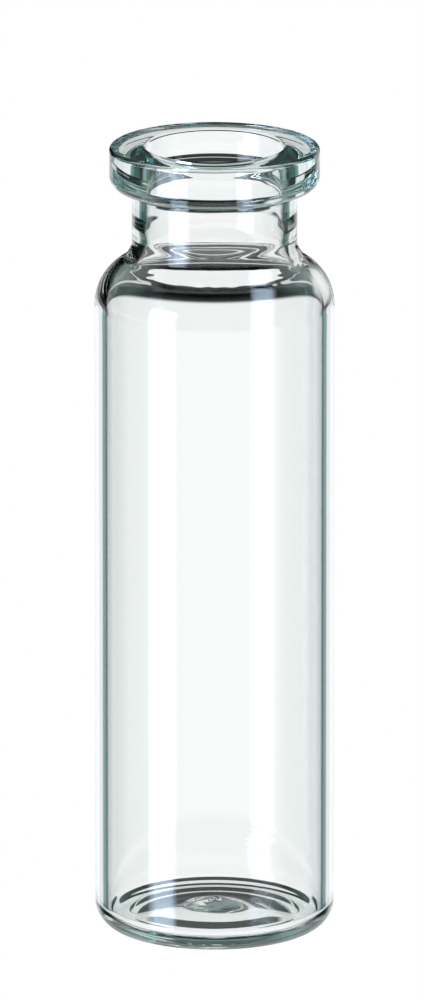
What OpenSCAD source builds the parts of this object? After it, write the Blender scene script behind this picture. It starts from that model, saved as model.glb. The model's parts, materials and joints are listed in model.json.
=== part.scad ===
// Crimp-neck glass sample vial: one piece of glass, formed from a tube.
// The section is drawn once, right of the axis, and revolved. Units are mm.
// Every rounding is an arc that runs smoothly into its neighbours.

/* [Body] */
// Height from the surface the vial stands on to the rim
height = 75.5; // [60:0.5:100]
// Outside diameter of the body
body_d = 22.5; // [21.5:0.1:30]
// Wall thickness of the body
wall = 1.15; // [0.8:0.05:1.6]

/* [Shoulder] */
// Outside radius where the body turns in
shoulder_r = 4.9; // [4:0.1:6]
// Outside radius where the shoulder turns up into the neck
neck_blend_r = 2.5; // [1.5:0.1:3.5]
// Inside radius where the shoulder turns up into the bore
bore_blend_r = 4.2; // [2:0.1:5]

/* [Neck] */
// Outside diameter of the neck
neck_d = 15.5; // [14.5:0.1:16.5]
// Diameter of the bore that takes the stopper
bore_d = 12.8; // [11.8:0.1:13]
// Height from the foot of the neck to the rim
finish_h = 9; // [8:0.1:12]

/* [Flange] */
// Outside diameter of the flange that the crimp cap grips
flange_d = 19.7; // [19.3:0.1:21]
// Height of the flange
flange_h = 4; // [3.5:0.1:4.5]
// Drop of the sealing face from the bore to the outer edge
rim_fall = 0.05; // [0.05:0.05:0.4]
// Rounding of the bore at the rim
mouth_r = 0.3; // [0.1:0.05:0.5]
// Rounding of the flange's upper edge
flange_top_r = 0.45; // [0.2:0.05:0.8]
// Rounding of the flange's lower edge
flange_foot_r = 1.2; // [0.4:0.1:1.8]
// Rounding where the flange's underside meets the neck
flange_blend_r = 0.5; // [0.1:0.1:0.6]

/* [Base] */
// Outside rounding at the heel
heel_r = 2.5; // [1.5:0.1:3.5]
// Width of the flat ring that the vial stands on
ring_w = 0.3; // [0.2:0.1:2]
// Rise of the underside at its centre, above that ring
push_up = 1.25; // [0.3:0.05:1.5]
// Inside rounding at the heel
inner_heel_r = 1.05; // [0.8:0.05:3]
// Thickness of the glass floor where it leaves the heel
floor_t = 1.85; // [1.5:0.05:2.5]
// Width of the flat outer part of the floor
floor_ring_w = 4.7; // [1:0.1:5.5]
// Rise of the floor inside that flat part
floor_rise = 0.3; // [0.1:0.05:1]
// Diameter of the bead of glass at the centre of the floor
bead_d = 6; // [4:0.5:7.5]
// Height of that bead above the floor
bead_h = 0.6; // [0.3:0.05:1]

/* [Hidden] */
$fn = 128;

body_r = body_d / 2;
cavity_r = body_r - wall;
neck_r = neck_d / 2;
bore_r = bore_d / 2;
flange_r = flange_d / 2;

// Centres of the roundings, each [distance from the axis, height]
neck_blend_c = [neck_r + neck_blend_r, height - finish_h];
shoulder_c = below(neck_blend_c, body_r - shoulder_r, shoulder_r + neck_blend_r);
inner_shoulder_r = shoulder_r - wall;
bore_blend_c = above(shoulder_c, bore_r + bore_blend_r, inner_shoulder_r + bore_blend_r);
heel_c = [body_r - heel_r, heel_r];
inner_heel_c = [cavity_r - inner_heel_r, floor_t + inner_heel_r];
flange_foot_z = height - flange_h;
// The blend under the flange is held to the room that the rounded edge leaves
underside_blend_r = min(flange_blend_r, flange_r - flange_foot_r - neck_r);
flange_blend_c = [neck_r + underside_blend_r, flange_foot_z - underside_blend_r];
flange_foot_c = [flange_r - flange_foot_r, flange_foot_z + flange_foot_r];
mouth_c = [bore_r + mouth_r, height - mouth_r];
// The sealing face leans outwards by this angle and touches both edge arcs
rim_tilt = atan2(rim_fall, flange_r - bore_r);
flange_top_c = [flange_r - flange_top_r,
                mouth_c[1] + (mouth_r - flange_top_r) / cos(rim_tilt)
                - (flange_r - flange_top_r - mouth_c[0]) * tan(rim_tilt)];

// The underside and the floor are shallow domes inside a flat ring
underside_r = dome_radius(heel_c[0] - ring_w, push_up, heel_r);
underside_c = [0, push_up - underside_r];
floor_top_z = floor_t + floor_rise;
floor_r = dome_radius(inner_heel_c[0] - floor_ring_w, floor_rise, inner_heel_r);
floor_c = [0, floor_top_z - floor_r];
// The bead is a cap of a ball, its foot level with the top of the floor
bead_r = (bead_d * bead_d / 4 / bead_h + bead_h) / 2;
bead_c = [0, floor_top_z + bead_h - bead_r];

// A centre at radius r, a straight distance d above or below the centre p
function rise(p, r, d) = sqrt(d * d - (r - p[0]) * (r - p[0]));
function above(p, r, d) = [r, p[1] + rise(p, r, d)];
function below(p, r, d) = [r, p[1] - rise(p, r, d)];
// Radius of a dome that rises by h at the axis and touches, from outside, a
// rounding of radius r whose centre is at distance a from the axis
function dome_radius(a, h, r) = (a * a / h + h) / 2 - r;
// Direction of point q seen from point p, in degrees
function heading(p, q) = atan2(q[1] - p[1], q[0] - p[0]);
function polar(r, a) = [r * cos(a), r * sin(a)];

// A slice of a disc: a rounded corner between two directions. It runs on a
// little at both sides, into the glass or the room that it joins
module slice(c, r, from, to) {
    lap = 10;
    translate(c) intersection() {
        circle(r = r);
        polygon([[0, 0], polar(2 * r, from - lap), polar(2 * r, (from + to) / 2), polar(2 * r, to + lap)]);
    }
}

module disc(c, r) {
    translate(c) circle(r = r);
}

// From the domed foot of a closed tube, round its heel and up to its shoulder
module barrel(r, foot_c, foot_r, flat_w, dome_c, dome_r, top_z) {
    inner_c = foot_c - [flat_w, 0];
    drop = [0, foot_r];
    difference() {
        polygon([dome_c, inner_c, inner_c - drop, foot_c - drop, foot_c,
                 [r, foot_c[1]], [r, top_z], [0, top_z]]);
        disc(dome_c, dome_r);
    }
    slice(inner_c, foot_r, heading(inner_c, dome_c), -90);
    slice(foot_c, foot_r, -90, 0);
}

// A convex arc into a concave one, up to the foot of a narrower tube
module shoulder(out_c, out_r, in_c, in_r) {
    slice(out_c, out_r, 0, heading(out_c, in_c));
    difference() {
        polygon([[0, out_c[1]], out_c, in_c, [0, in_c[1]]]);
        disc(in_c, in_r);
    }
}

// The filled outline below the flange
module outside() {
    barrel(body_r, heel_c, heel_r, ring_w, underside_c, underside_r, shoulder_c[1]);
    shoulder(shoulder_c, shoulder_r, neck_blend_c, neck_blend_r);
    translate([0, neck_blend_c[1]]) square([neck_r, flange_blend_c[1] - neck_blend_c[1]]);
    difference() {
        translate([0, flange_blend_c[1]]) square([flange_blend_c[0], underside_blend_r]);
        disc(flange_blend_c, underside_blend_r);
    }
}

// The room inside, run on past the foot of the flange to cut it open
module cavity() {
    difference() {
        barrel(cavity_r, inner_heel_c, inner_heel_r, floor_ring_w, floor_c, floor_r, shoulder_c[1]);
        disc(bead_c, bead_r);
    }
    shoulder(shoulder_c, inner_shoulder_r, bore_blend_c, bore_blend_r);
    translate([0, bore_blend_c[1]]) square([bore_r, height - bore_blend_c[1]]);
}

// The flange, from the bore out to the edge that the cap is crimped under
module flange() {
    face = 90 - rim_tilt;
    polygon([[bore_r, flange_foot_z], [flange_foot_c[0], flange_foot_z], flange_foot_c,
             [flange_r, flange_foot_c[1]], [flange_r, flange_top_c[1]], flange_top_c,
             flange_top_c + polar(flange_top_r, face), mouth_c + polar(mouth_r, face),
             mouth_c, [bore_r, mouth_c[1]]]);
    slice(flange_foot_c, flange_foot_r, -90, 0);
    slice(flange_top_c, flange_top_r, 0, face);
    slice(mouth_c, mouth_r, face, 180);
}

module vial() {
    color([0.82, 0.92, 0.90, 0.35]) rotate_extrude() {
        difference() {
            outside();
            cavity();
        }
        flange();
    }
}

vial();
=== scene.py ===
"""Crimp-neck glass sample vial: its glass, and the light box it stands in."""
import json
import logging
import math
from dataclasses import dataclass, field
from enum import Enum

import bpy
import numpy as np
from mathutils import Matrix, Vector

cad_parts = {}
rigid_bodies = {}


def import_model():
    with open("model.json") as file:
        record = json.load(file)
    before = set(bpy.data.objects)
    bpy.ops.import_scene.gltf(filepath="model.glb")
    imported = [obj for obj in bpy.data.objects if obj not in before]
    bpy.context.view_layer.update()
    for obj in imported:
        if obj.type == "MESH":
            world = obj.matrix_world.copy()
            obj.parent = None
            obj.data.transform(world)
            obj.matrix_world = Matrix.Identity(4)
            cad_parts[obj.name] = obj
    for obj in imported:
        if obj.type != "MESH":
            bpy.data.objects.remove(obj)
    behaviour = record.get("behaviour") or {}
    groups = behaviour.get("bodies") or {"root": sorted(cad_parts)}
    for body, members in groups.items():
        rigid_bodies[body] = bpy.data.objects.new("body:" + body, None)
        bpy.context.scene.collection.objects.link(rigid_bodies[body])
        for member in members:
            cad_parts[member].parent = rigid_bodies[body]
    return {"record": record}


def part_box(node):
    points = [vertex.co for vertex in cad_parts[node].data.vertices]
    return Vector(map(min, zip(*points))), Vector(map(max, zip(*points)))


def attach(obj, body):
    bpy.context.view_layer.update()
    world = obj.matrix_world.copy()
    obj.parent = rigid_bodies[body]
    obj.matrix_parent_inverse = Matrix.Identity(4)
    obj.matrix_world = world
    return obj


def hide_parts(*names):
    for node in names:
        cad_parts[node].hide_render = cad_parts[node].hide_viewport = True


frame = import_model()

log = logging.getLogger("vial")

MM = 0.001
NODE = "vial"
FLOOR_TOP = 4.0  # millimetres: everything above it is wall
TINY = 1e-9  # keeps a division by a length from dividing by nothing
TABLE_HALF = 6.0  # metres from the middle of the table to its edge
CLIP = (0.1, 20)  # metres: the nearest and the farthest that the camera sees
ALL_ROUND = 180  # degrees: a panel with this half width goes all the way round
STRAIGHT_DOWN = -90  # degrees
EVERYWHERE = (-3.0, -2.0)  # a fade that lies below every cosine
APART = 1e-4  # keeps the two ends of a fade apart
BOUNCES = 32  # how often a light path may turn
THROUGH_GLASS = 24  # how often of these by going through a surface
MIRRORED = 20  # how often of these by being mirrored


# ---------------------------------------------------------------- small tools
def linear(hex_colour: str) -> tuple[float, float, float, float]:
    """Turn an sRGB hex colour into linear light.

    Args:
        hex_colour: Six hex digits after a hash sign.

    Returns:
        Red, green, blue in linear light, and an alpha of one.
    """
    srgb = np.array([int(hex_colour[i:i + 2], 16) for i in (1, 3, 5)]) / 255
    light = np.where(srgb <= 0.04045, srgb / 12.92, ((srgb + 0.055) / 1.055) ** 2.4)
    return (*(float(c) for c in light), 1.0)


def add_node(tree: bpy.types.NodeTree, kind: str, inputs: dict | None = None,
             **settings: object) -> bpy.types.Node:
    """Add one node with its settings, its constant inputs and its links.

    Args:
        tree: Node tree that gets the node.
        kind: Blender's name of the node type.
        inputs: Value or source socket for each input, by name or index.
        **settings: Properties of the node itself.

    Returns:
        The new node.
    """
    node = tree.nodes.new(kind)
    for name, value in settings.items():
        setattr(node, name, value)
    for key, value in (inputs or {}).items():
        if isinstance(value, bpy.types.NodeSocket):
            tree.links.new(value, node.inputs[key])
        else:
            node.inputs[key].default_value = value
    return node


def arc(centre: np.ndarray, radius: float, start: float, stop: float, steps: int) -> np.ndarray:
    """Points on an arc: the centre plus the radius along evenly spaced directions.

    Args:
        centre: Centre, as distance from the axis and height.
        radius: Radius of the arc.
        start: First direction in degrees, anticlockwise from outwards.
        stop: Last direction in degrees.
        steps: Number of points, both ends included.

    Returns:
        An array of (distance, height) rows.
    """
    turn = np.radians(np.linspace(start, stop, steps))
    return np.asarray(centre) + radius * np.stack([np.cos(turn), np.sin(turn)], axis=1)


def straight(start: np.ndarray, stop: np.ndarray, steps: int) -> np.ndarray:
    """Inner points of a straight run, evenly spaced, with both ends left out."""
    part = np.linspace(0, 1, steps + 2)[1:-1, None]
    return np.asarray(start) * (1 - part) + np.asarray(stop) * part


def heading(a: np.ndarray, b: np.ndarray) -> float:
    """Direction of point b seen from point a, in degrees."""
    return math.degrees(math.atan2(b[1] - a[1], b[0] - a[0]))


# ---------------------------------------------------------------- the section
@dataclass
class Section:
    """Half section of the vial in millimetres, made of arcs that flow into each other.

    The overall sizes come from the frame; the rest are the glassmaker's radii.
    """

    height: float
    body_r: float
    bore_r: float
    flange_r: float
    # the wall, the shoulder and the neck
    wall: float = 1.15
    shoulder_r: float = 4.9
    neck_blend_r: float = 2.5
    bore_blend_r: float = 4.2
    neck_r: float = 7.75
    finish_h: float = 9.0
    # the flange and its edges
    flange_h: float = 4.0
    rim_fall: float = 0.05
    mouth_r: float = 0.3
    flange_top_r: float = 0.45
    flange_foot_r: float = 1.2
    flange_blend_r: float = 0.5
    # the base: heel, standing ring and push-up outside; heel, floor, crown and bead inside
    heel_r: float = 2.5
    inner_heel_r: float = 1.01
    floor_t: float = 1.63
    ring_w: float = 0.39
    push_up: float = 1.26
    floor_rise: float = 0.34
    crown_power: float = 4.0
    bead_h: float = 0.76
    bead_r: float = 1.68
    # centres of the roundings that both surfaces share, and what follows from them
    neck_blend_c: np.ndarray = field(init=False)
    shoulder_c: np.ndarray = field(init=False)
    bore_blend_c: np.ndarray = field(init=False)
    inner_shoulder_r: float = field(init=False)

    def __post_init__(self) -> None:
        """Work out the centres of the roundings."""
        self.neck_blend_c = np.array([self.neck_r + self.neck_blend_r, self.height - self.finish_h])
        reach = self.shoulder_r + self.neck_blend_r
        out = self.body_r - self.shoulder_r
        drop = math.sqrt(reach**2 - (out - self.neck_blend_c[0])**2)
        self.shoulder_c = np.array([out, self.neck_blend_c[1] - drop])
        self.inner_shoulder_r = self.shoulder_r - self.wall
        reach = self.inner_shoulder_r + self.bore_blend_r
        across = self.bore_r + self.bore_blend_r
        self.bore_blend_c = np.array([across, self.shoulder_c[1] + math.sqrt(reach**2 - (across - out)**2)])

    def outside(self) -> np.ndarray:
        """Run from the centre of the underside, up the outside, to the rim of the bore.

        The underside is a ball's cap that touches the rounding of the heel. Above it,
        arcs and upright runs follow each other, each touching the next.

        Returns:
            Rows of (distance from the axis, height) in millimetres.
        """
        heel = np.array([self.body_r - self.heel_r, self.heel_r])
        ring = heel - [self.ring_w, 0]
        dome_r = (ring[0]**2 / self.push_up + self.push_up) / 2 - self.heel_r
        dome = np.array([0, self.push_up - dome_r])
        turn = heading(dome, ring)
        up = heading(self.shoulder_c, self.neck_blend_c)
        foot_z = self.height - self.flange_h
        blend = np.array([self.neck_r + self.flange_blend_r, foot_z - self.flange_blend_r])
        foot = np.array([self.flange_r - self.flange_foot_r, foot_z + self.flange_foot_r])
        tilt = math.atan2(self.rim_fall, self.flange_r - self.bore_r)
        mouth = np.array([self.bore_r + self.mouth_r, self.height - self.mouth_r])
        top_r = self.flange_r - self.flange_top_r
        top = np.array([top_r, mouth[1] + (self.mouth_r - self.flange_top_r) / math.cos(tilt)
                        - (top_r - mouth[0]) * math.tan(tilt)])
        face = 90 - math.degrees(tilt)
        runs = [
            arc(dome, dome_r, 90, turn, 18)[1:],
            arc(ring, self.heel_r, turn - 180, -90, 6)[1:],
            straight(ring - [0, self.heel_r], heel - [0, self.heel_r], 3),
            arc(heel, self.heel_r, -90, 0, 20),
            straight([self.body_r, self.heel_r], [self.body_r, self.shoulder_c[1]], 22),
            arc(self.shoulder_c, self.shoulder_r, 0, up, 24),
            arc(self.neck_blend_c, self.neck_blend_r, up + 180, 180, 16)[1:],
            straight([self.neck_r, self.neck_blend_c[1]], [self.neck_r, blend[1]], 14),
            arc(blend, self.flange_blend_r, 180, 90, 8),
            arc(foot, self.flange_foot_r, -90, 0, 14),
            straight([self.flange_r, foot[1]], [self.flange_r, top[1]], 8),
            arc(top, self.flange_top_r, 0, face, 10),
            straight(arc(top, self.flange_top_r, face, face, 1)[0],
                     arc(mouth, self.mouth_r, face, face, 1)[0], 8),
            arc(mouth, self.mouth_r, face, 180, 10),
        ]
        return np.concatenate(runs)

    def inside(self) -> np.ndarray:
        """Run from below the rim of the bore, down the inside, to the centre of the floor.

        The height of the floor is its thickness, plus the rise times one minus the squared
        share of the radius, to the crown's power, plus a bell curve for the bead.

        Returns:
            Rows of (distance from the axis, height) in millimetres.
        """
        cavity_r = self.body_r - self.wall
        up = heading(self.shoulder_c, self.bore_blend_c)
        heel = np.array([cavity_r - self.inner_heel_r, self.floor_t + self.inner_heel_r])
        away = np.linspace(heel[0], 0, 62)[1:-1]
        crown = self.floor_rise * (1 - (away / heel[0])**2)**self.crown_power
        bead = self.bead_h * np.exp(-(away / self.bead_r)**2)
        runs = [
            straight([self.bore_r, self.height - self.mouth_r], [self.bore_r, self.bore_blend_c[1]], 56),
            arc(self.bore_blend_c, self.bore_blend_r, 180, 180 + up, 30),
            arc(self.shoulder_c, self.inner_shoulder_r, up, 0, 20)[1:],
            straight([cavity_r, self.shoulder_c[1]], [cavity_r, heel[1]], 20),
            arc(heel, self.inner_heel_r, 0, -90, 22),
            np.stack([away, self.floor_t + crown + bead], axis=1),
        ]
        return np.concatenate(runs)


# ---------------------------------------------------------------- marks of forming
class Side(Enum):
    """The two surfaces of the glass."""

    OUTSIDE = "outside"
    INSIDE = "inside"


@dataclass(frozen=True)
class Swell:
    """A shallow ring that forming leaves in a wall, a bell curve over the height, in millimetres."""

    side: Side
    shift: float
    height: float
    width: float

    def apply(self, section: np.ndarray) -> None:
        """Move the points of one surface sideways, in place, by the shift times a bell curve.

        Args:
            section: Rows of (distance, height).
        """
        walls = section[:, 1] > FLOOR_TOP
        away = (section[walls, 1] - self.height) / self.width
        section[walls, 0] += self.shift * np.exp(-away**2)


@dataclass(frozen=True)
class Ripple:
    """A patch of uneven glass: waves that fade with the distance from one point of the section.

    Each wave has a whole number of crests around the axis, a wavelength along the
    section and a phase of its own, all drawn from the seed.
    """

    side: Side
    shift: float
    middle: tuple[float, float]
    width: float
    around: tuple[int, int]
    length: tuple[float, float]
    seed: int
    waves: int = 14

    def relief(self, section: np.ndarray, turn: np.ndarray) -> np.ndarray:
        """Shift along the normal: the sum of cosines times a bell curve.

        Args:
            section: Rows of (distance, height) of one surface.
            turn: Directions around the axis, in radians.

        Returns:
            Millimetres, one row per point of the section, one column per direction.
        """
        rng = np.random.default_rng(self.seed)
        crests = rng.integers(self.around[0], self.around[1] + 1, self.waves)
        pace = 2 * np.pi / rng.uniform(*self.length, self.waves) * rng.choice([-1, 1], self.waves)
        phase = rng.uniform(0, 2 * np.pi, self.waves)
        run = np.concatenate([[0], np.cumsum(np.hypot(*np.diff(section, axis=0).T))])
        angle = (crests * turn[:, None])[None] + (pace * run[:, None] + phase)[:, None]
        away = np.hypot(*(section - self.middle).T) / self.width
        fade = np.exp(-away**2)[:, None]
        return self.shift * fade * np.cos(angle).sum(axis=2) / math.sqrt(self.waves / 2)


# ---------------------------------------------------------------- finishes
@dataclass(frozen=True)
class ClearGlass:
    """Clear tube glass, fire-polished.

    A sheer skin with no grain bends and mirrors the surroundings. The glass is
    colourless when thin and faintly green where the light runs along the wall.
    """

    ior: float = 1.52
    tint: str = "#FFFFFF"
    depth_colour: str = "#7FE4DC"
    depth_density: float = 16.0

    def make(self) -> bpy.types.Material:
        """Build the material.

        Returns:
            The material, with a surface that bends light and a volume that takes up red.
        """
        mat = bpy.data.materials.new("clear_glass")
        mat.use_nodes = True
        tree = mat.node_tree
        tree.nodes.clear()
        skin = add_node(tree, "ShaderNodeBsdfPrincipled", {
            "Base Color": linear(self.tint), "Roughness": 0.0, "IOR": self.ior,
            "Transmission Weight": 1.0})
        depth = add_node(tree, "ShaderNodeVolumeAbsorption", {
            "Color": linear(self.depth_colour), "Density": self.depth_density})
        add_node(tree, "ShaderNodeOutputMaterial", {
            "Surface": skin.outputs["BSDF"], "Volume": depth.outputs["Volume"]})
        return mat


@dataclass(frozen=True)
class LitAcrylic:
    """White acrylic, cast as a sheet and lit from below: an even white with no shadow on it."""

    colour: str = "#FFFFFF"
    strength: float = 1.0

    def make(self) -> bpy.types.Material:
        """Build the material.

        Returns:
            The material, which only gives off light.
        """
        mat = bpy.data.materials.new("lit_white_acrylic")
        mat.use_nodes = True
        tree = mat.node_tree
        tree.nodes.clear()
        glow = add_node(tree, "ShaderNodeEmission", {
            "Color": linear(self.colour), "Strength": self.strength})
        add_node(tree, "ShaderNodeOutputMaterial", {"Surface": glow.outputs[0]})
        return mat


# ---------------------------------------------------------------- the vial
@dataclass
class Vial:
    """The glass body, turned from its section."""

    section: Section
    glass: ClearGlass = field(default_factory=ClearGlass)
    sides: int = 256
    swells: tuple[Swell, ...] = (
        # the bore widens where it turns into the shoulder, and draws in just below
        Swell(Side.INSIDE, shift=0.058, height=67.53, width=1.0),
        Swell(Side.INSIDE, shift=-0.080, height=63.98, width=0.58),
    )
    ripples: tuple[Ripple, ...] = (
        # crumples at the foot of the neck
        Ripple(Side.INSIDE, shift=0.0035, middle=(7.6, 63.9), width=0.9,
               around=(16, 44), length=(0.6, 1.3), seed=11),
        # slow waves in the bore
        Ripple(Side.INSIDE, shift=0.0010, middle=(6.4, 69.6), width=3.0,
               around=(1, 9), length=(0.9, 1.8), seed=12),
        # rings that the flange tool leaves in the bore
        Ripple(Side.INSIDE, shift=0.0010, middle=(6.4, 73.6), width=1.6,
               around=(0, 3), length=(0.7, 1.2), seed=13),
        # the uneven bead where the tube was closed
        Ripple(Side.INSIDE, shift=0.030, middle=(0.8, 2.7), width=2.2,
               around=(1, 5), length=(1.4, 3.5), seed=14),
    )

    def shifted(self, side: Side, section: np.ndarray, turn: np.ndarray) -> np.ndarray:
        """Turn one surface about the axis, with its swells and ripples.

        Each point (distance, height) goes to (distance x cos, distance x sin,
        height) for every turn, after its shift along the section's normal.

        Args:
            side: The surface.
            section: Rows of (distance, height).
            turn: Directions around the axis, in radians.

        Returns:
            Points in millimetres, row after row.
        """
        section = section.copy()
        for swell in self.swells:
            if swell.side is side:
                swell.apply(section)
        slope = np.gradient(section, axis=0)
        normal = np.stack([slope[:, 1], -slope[:, 0]], axis=1)
        normal /= np.maximum(np.hypot(*normal.T), TINY)[:, None]
        waves = (ripple.relief(section, turn) for ripple in self.ripples if ripple.side is side)
        shift = sum(waves, np.zeros((len(section), 1)))
        away = section[:, :1] + shift * normal[:, :1]
        rise = section[:, 1:] + shift * normal[:, 1:]
        rise = np.broadcast_to(rise, (len(section), len(turn)))
        return np.stack([away * np.cos(turn), away * np.sin(turn), rise], axis=2).reshape(-1, 3)

    def surface(self) -> tuple[np.ndarray, np.ndarray, np.ndarray]:
        """Join the outside and the inside to one closed skin; a single point closes each pole.

        Returns:
            Points in metres, four-sided faces, and the triangles at the poles.
        """
        outside, inside = self.section.outside(), self.section.inside()
        rows = len(outside) + len(inside)
        turn = np.arange(self.sides) * 2 * np.pi / self.sides
        grid = np.vstack([self.shifted(Side.OUTSIDE, outside, turn),
                          self.shifted(Side.INSIDE, inside, turn)])
        under = [0, 0, self.section.push_up]
        floor = [0, 0, grid[-self.sides:, 2].mean()]
        points = np.vstack([grid, under, floor]) * MM
        low = np.arange(rows - 1)[:, None] * self.sides
        here = np.arange(self.sides)
        there = (here + 1) % self.sides
        high = low + self.sides
        quads = np.stack([low + here, low + there, high + there, high + here], axis=2)
        last = (rows - 1) * self.sides
        fans = np.vstack([
            np.stack([np.full(self.sides, len(grid)), there, here], axis=1),
            np.stack([np.full(self.sides, len(grid) + 1), last + here, last + there], axis=1)])
        return points, quads.reshape(-1, 4), fans

    def build(self) -> bpy.types.Object:
        """Make the glass object, dress it and set it on its body.

        Returns:
            The glass as one object at the origin.
        """
        points, quads, fans = self.surface()
        mesh = bpy.data.meshes.new("glass_body")
        mesh.from_pydata(points.tolist(), [], quads.tolist() + fans.tolist())
        mesh.shade_smooth()
        body = bpy.data.objects.new("glass_body", mesh)
        bpy.context.scene.collection.objects.link(body)
        mesh.materials.append(self.glass.make())
        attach(body, "root")
        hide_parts(NODE)
        log.info("glass body: %d points, %d faces", len(points), len(quads) + len(fans))
        return body


# ---------------------------------------------------------------- the studio
@dataclass(frozen=True)
class Panel:
    """A light panel far from the vial, seen as a patch of the surroundings.

    The heading is in degrees, anticlockwise from straight ahead of the camera; the
    half width, the low and high edge and both kinds of softness are in degrees too.
    A bow curves the low or the high edge, as much as the edge would drop at a
    quarter turn from the middle.
    """

    heading: float
    half_width: float
    low: float
    high: float
    colour: str = "#FFFFFF"
    strength: float = 1.0
    soft: float = 1.0
    soft_edge: float = 0.5
    bow_low: float = 0.0
    bow_high: float = 0.0

    def middle(self) -> tuple[float, float, float]:
        """Level direction of the middle of the panel."""
        turn = math.radians(self.heading)
        return -math.sin(turn), math.cos(turn), 0

    def side_fade(self) -> tuple[float, float]:
        """Cosines from the middle where the light begins and where it is full.

        Returns:
            Both cosines, or the fade that lets a panel go all the way round.
        """
        if self.half_width >= ALL_ROUND:
            return EVERYWHERE
        return (math.cos(math.radians(self.half_width + self.soft)),
                math.cos(math.radians(self.half_width - self.soft)))

    def low_fade(self) -> tuple[float, float]:
        """Sines of the heights between which the light rises at the low edge.

        Returns:
            Both sines, kept apart for a panel that reaches straight down.
        """
        start = max(self.low - self.soft_edge, STRAIGHT_DOWN)
        stop = max(self.low + self.soft_edge, STRAIGHT_DOWN + 1)
        return math.sin(math.radians(start)) - APART, math.sin(math.radians(stop))

    def high_fade(self) -> tuple[float, float]:
        """Sines of the heights between which the light falls at the high edge."""
        return (math.sin(math.radians(self.high - self.soft_edge)),
                math.sin(math.radians(self.high + self.soft_edge)))


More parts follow.
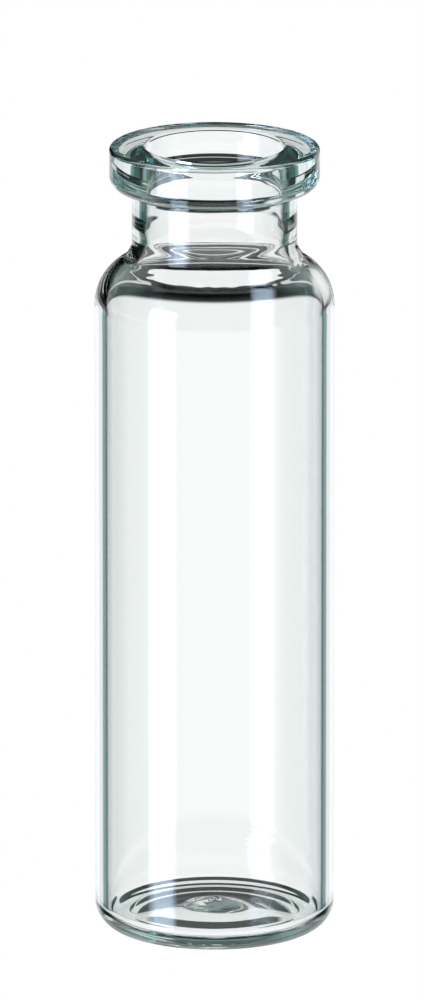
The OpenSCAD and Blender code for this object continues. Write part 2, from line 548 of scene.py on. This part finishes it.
@dataclass
class Studio:
    """A white table, dark surroundings and light panels, and the camera."""

    target: tuple[float, float, float] = (-0.000235, 0.0, 0.04127)
    distance: float = 1.7
    elevation: float = 14.8
    lens: float = 652.4
    dark: str = "#060D0B"
    table: LitAcrylic = LitAcrylic()
    panels: tuple[Panel, ...] = (
        # behind the body: white, with green-grey steps that the edges of the walls show
        Panel(0, 32.5, -23.2, -11.6, "#FFFFFF", 0.99, soft=3.0, soft_edge=0.4),
        Panel(0, 41, -23.2, -11.6, "#6B9592", 1.0, soft=5.0, soft_edge=0.6),
        Panel(0, 54, -23.2, -11.6, "#405D59", 1.0, soft=8.0, soft_edge=0.6),
        Panel(86, 24, -23.2, -11.6, "#8FA6A2", 1.0, soft=3.0, soft_edge=0.6),
        Panel(-86, 24, -23.2, -11.6, "#8FA6A2", 1.0, soft=3.0, soft_edge=0.6),
        # below it: the dark gap between these two is the crescent in the base
        Panel(0, 15, -27.6, -22, "#FFFFFF", 1.02, soft=1.0, soft_edge=0.4, bow_low=5.0),
        Panel(0, 15, -60, -40.0, "#FFFFFF", 1.0, soft=1.0, soft_edge=0.4, bow_high=6.0),
        Panel(62, 48.5, -40.2, -23.2, "#FFFFFF", 0.95, soft=1.5, soft_edge=0.6),
        Panel(-62, 48.5, -40.2, -23.2, "#FFFFFF", 0.95, soft=1.5, soft_edge=0.6),
        # behind the camera, for the glass seen from the other side
        Panel(180, 72, -29.9, -11.6, "#FFFFFF", 0.6, soft=6.0, soft_edge=0.6),
        Panel(180, 72, -17.6, -12.4, "#FFFFFF", 0.85, soft=6.0, soft_edge=0.4),
        # the white ground all round
        Panel(0, 95, -90, -40.0, "#FFFFFF", 1.0, soft=6.0),
        Panel(180, ALL_ROUND, -90, -60, "#FFFFFF", 1.0),
        # grey-green walls above the level and at the sides, that the flange and the shoulder show
        Panel(0, 24, 14, 40, "#7C9590", 0.75, soft=3.0, soft_edge=2.0),
        Panel(50, 26, 13, 45, "#7C9590", 1.0, soft=8.0, soft_edge=2.0),
        Panel(-50, 26, 13, 45, "#7C9590", 1.0, soft=8.0, soft_edge=2.0),
        Panel(88, 26, -12, 14, "#7C9590", 0.8, soft=8.0, soft_edge=2.0),
        Panel(-88, 26, -12, 14, "#7C9590", 1.0, soft=8.0, soft_edge=2.0),
        # to the right: it whitens the right shoulder
        Panel(-28, 12, -8, 16, "#FFFFFF", 0.9, soft=3.0, soft_edge=2.0),
        # thin strips near the level, for the glass seen from its own height
        Panel(0, 30, -3.8, -2.2, "#FFFFFF", 0.72, soft=1.0, soft_edge=0.2),
        Panel(90, 27, -4, -2, "#FFFFFF", 1.1, soft=1.0, soft_edge=0.2),
        # the bright box behind the camera on the left, mirrored as two upright streaks
        Panel(126.5, 12, -30, 26, "#D5E8FF", 7.0, soft=4.0, soft_edge=2.0),
    )

    def camera(self) -> None:
        """Place the camera on its long lens, looking down at the vial.

        It looks along the level direction that the panels' headings start from.
        """
        data = bpy.data.cameras.new("camera")
        data.lens = self.lens
        data.clip_start, data.clip_end = CLIP
        cam = bpy.data.objects.new("camera", data)
        rise = math.radians(self.elevation)
        back = Vector((0, -math.cos(rise), math.sin(rise)))
        cam.location = Vector(self.target) + back * self.distance
        cam.rotation_euler = (-back).to_track_quat("-Z", "Y").to_euler()
        bpy.context.scene.collection.objects.link(cam)
        bpy.context.scene.camera = cam

    def floor(self) -> None:
        """Lay the plain white table, a square sheet level with the foot of the vial.

        The glass bends and mirrors the panels, and not the table.
        """
        corners = [(x * TABLE_HALF, y * TABLE_HALF, 0) for x, y in ((-1, -1), (1, -1), (1, 1), (-1, 1))]
        mesh = bpy.data.meshes.new("table")
        mesh.from_pydata(corners, [], [(0, 1, 2, 3)])
        table = bpy.data.objects.new("table", mesh)
        bpy.context.scene.collection.objects.link(table)
        mesh.materials.append(self.table.make())
        table.visible_transmission = False
        table.visible_glossy = False
        table.visible_diffuse = False
        table.visible_shadow = False
        table.visible_volume_scatter = False

    @staticmethod
    def bowed(tree: bpy.types.NodeTree, height: bpy.types.NodeSocket, cosine: bpy.types.NodeSocket,
              bow: float) -> bpy.types.NodeSocket:
        """Lower the height away from the middle of a panel, so that an edge curves upwards.

        The height loses the bow times (1 - cosine).

        Args:
            tree: Node tree of the world.
            height: Sine of the height of a direction.
            cosine: Cosine of its angle from the middle of the panel.
            bow: How strongly the edge curves; nothing for a level edge.

        Returns:
            The height to compare with the edge.
        """
        if not bow:
            return height
        drop = add_node(tree, "ShaderNodeMath", {0: cosine, 1: 1.0}, operation="SUBTRACT")
        bent = add_node(tree, "ShaderNodeMath", {
            0: drop.outputs[0], 1: bow, 2: height}, operation="MULTIPLY_ADD")
        return bent.outputs[0]

    def light(self, tree: bpy.types.NodeTree, panel: Panel, level: bpy.types.NodeSocket,
              height: bpy.types.NodeSocket) -> bpy.types.NodeSocket:
        """Light of one panel along a direction: its colour times three soft edges.

        Args:
            tree: Node tree of the world.
            panel: The panel.
            level: Level part of the direction, made one long.
            height: Sine of the height of the direction.

        Returns:
            The light as a colour.
        """
        dot = add_node(tree, "ShaderNodeVectorMath", {0: level, 1: panel.middle()}, operation="DOT_PRODUCT")
        cosine = dot.outputs["Value"]
        rising, falling = (0.0, 1.0), (1.0, 0.0)
        edges = (
            (self.bowed(tree, height, cosine, panel.bow_low), panel.low_fade(), rising),
            (self.bowed(tree, height, cosine, panel.bow_high), panel.high_fade(), falling),
            (cosine, panel.side_fade(), rising),
        )
        mask = None
        for value, ends, levels in edges:
            fade = add_node(tree, "ShaderNodeMapRange", {
                0: value, 1: ends[0], 2: ends[1], 3: levels[0], 4: levels[1]},
                interpolation_type="SMOOTHSTEP").outputs[0]
            mask = fade if mask is None else add_node(tree, "ShaderNodeMath", {
                0: mask, 1: fade}, operation="MULTIPLY").outputs[0]
        colour = [part * panel.strength for part in linear(panel.colour)[:3]]
        return add_node(tree, "ShaderNodeVectorMath", {
            0: colour, "Scale": mask}, operation="SCALE").outputs[0]

    def world(self) -> None:
        """Surround the vial with dark walls and the light panels.

        Where panels overlap, the brightest counts. The camera itself sees plain white.
        """
        world = bpy.data.worlds.new("studio")
        bpy.context.scene.world = world
        world.use_nodes = True
        tree = world.node_tree
        tree.nodes.clear()
        way = add_node(tree, "ShaderNodeTexCoord").outputs["Generated"]
        split = add_node(tree, "ShaderNodeSeparateXYZ", {0: way})
        flat = add_node(tree, "ShaderNodeCombineXYZ", {0: split.outputs[0], 1: split.outputs[1]})
        level = add_node(tree, "ShaderNodeVectorMath", {0: flat.outputs[0]}, operation="NORMALIZE")
        lights = [self.light(tree, panel, level.outputs[0], split.outputs[2]) for panel in self.panels]
        brightest = lights[0]
        for light in lights[1:]:
            brightest = add_node(tree, "ShaderNodeVectorMath", {
                0: brightest, 1: light}, operation="MAXIMUM").outputs[0]
        total = add_node(tree, "ShaderNodeVectorMath", {
            0: brightest, 1: linear(self.dark)[:3]}, operation="ADD")
        seen = add_node(tree, "ShaderNodeLightPath")
        shade = add_node(tree, "ShaderNodeMix", {
            "Factor": seen.outputs["Is Camera Ray"], 6: total.outputs[0], 7: linear("#FFFFFF")},
            data_type="RGBA")
        glow = add_node(tree, "ShaderNodeBackground", {"Color": shade.outputs[2], "Strength": 1.0})
        add_node(tree, "ShaderNodeOutputWorld", {"Surface": glow.outputs[0]})

    def build(self) -> None:
        """Set up camera, table and surroundings, and let light paths be as long as glass needs."""
        self.camera()
        self.floor()
        self.world()
        scene = bpy.context.scene
        scene.view_settings.view_transform = "Standard"
        scene.cycles.max_bounces = BOUNCES
        scene.cycles.transmission_bounces = THROUGH_GLASS
        scene.cycles.glossy_bounces = MIRRORED
        log.info("studio: %d light panels", len(self.panels))


def main() -> None:
    """Build the vial and its studio."""
    logging.basicConfig(level=logging.INFO, format="%(message)s")
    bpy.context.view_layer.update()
    low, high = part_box(NODE)
    mounts = {m["name"]: m for m in frame["record"]["mounts"]}
    section = Section(
        height=(high[2] - low[2]) / MM,
        body_r=(high[0] - low[0]) / 2 / MM,
        bore_r=mounts["mouth"]["dims"]["r_mm"],
        flange_r=mounts["crimp_flange"]["dims"]["r_mm"],
    )
    Vial(section).build()
    Studio().build()
    bpy.context.view_layer.update()


if __name__ == "__main__":
    main()
